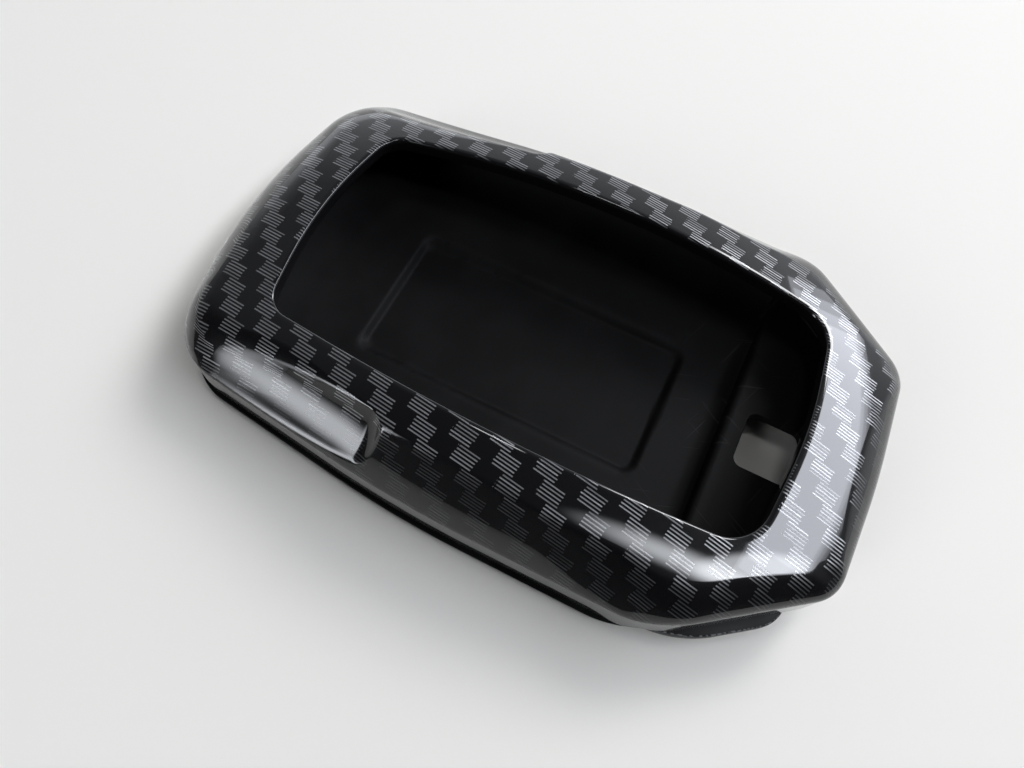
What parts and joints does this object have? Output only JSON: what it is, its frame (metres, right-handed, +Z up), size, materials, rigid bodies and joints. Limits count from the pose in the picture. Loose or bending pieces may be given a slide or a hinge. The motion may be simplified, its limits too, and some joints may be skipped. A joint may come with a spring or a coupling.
{
  "type": "key fob cover",
  "caption": "Hard cover for a car key fob: a glossy carbon-look front frame with a large button window, pushed over a black back tray with a square ring hole.",
  "frame": {"origin": "on the surface that the tray rests on, below the middle of the cover", "axes": "+X along the length towards the chamfered ring end, +Y across, +Z up through the button window"},
  "size_m": [0.0798, 0.0518, 0.0136],
  "materials": {
    "carbon_gloss": "carbon-look print under clear gloss lacquer",
    "tray_black": "fine matte inside, satin at the edges"
  },
  "bodies": {
    "tray": {"back_tray": "tray_black"},
    "frame": {"front_frame": "carbon_gloss"}
  },
  "joints": [
    {"name": "frame_lift", "type": "slide", "parent": "tray", "child": "frame", "axis": [0, 0, 1], "range_m": [0, 0.02]}
  ]
}
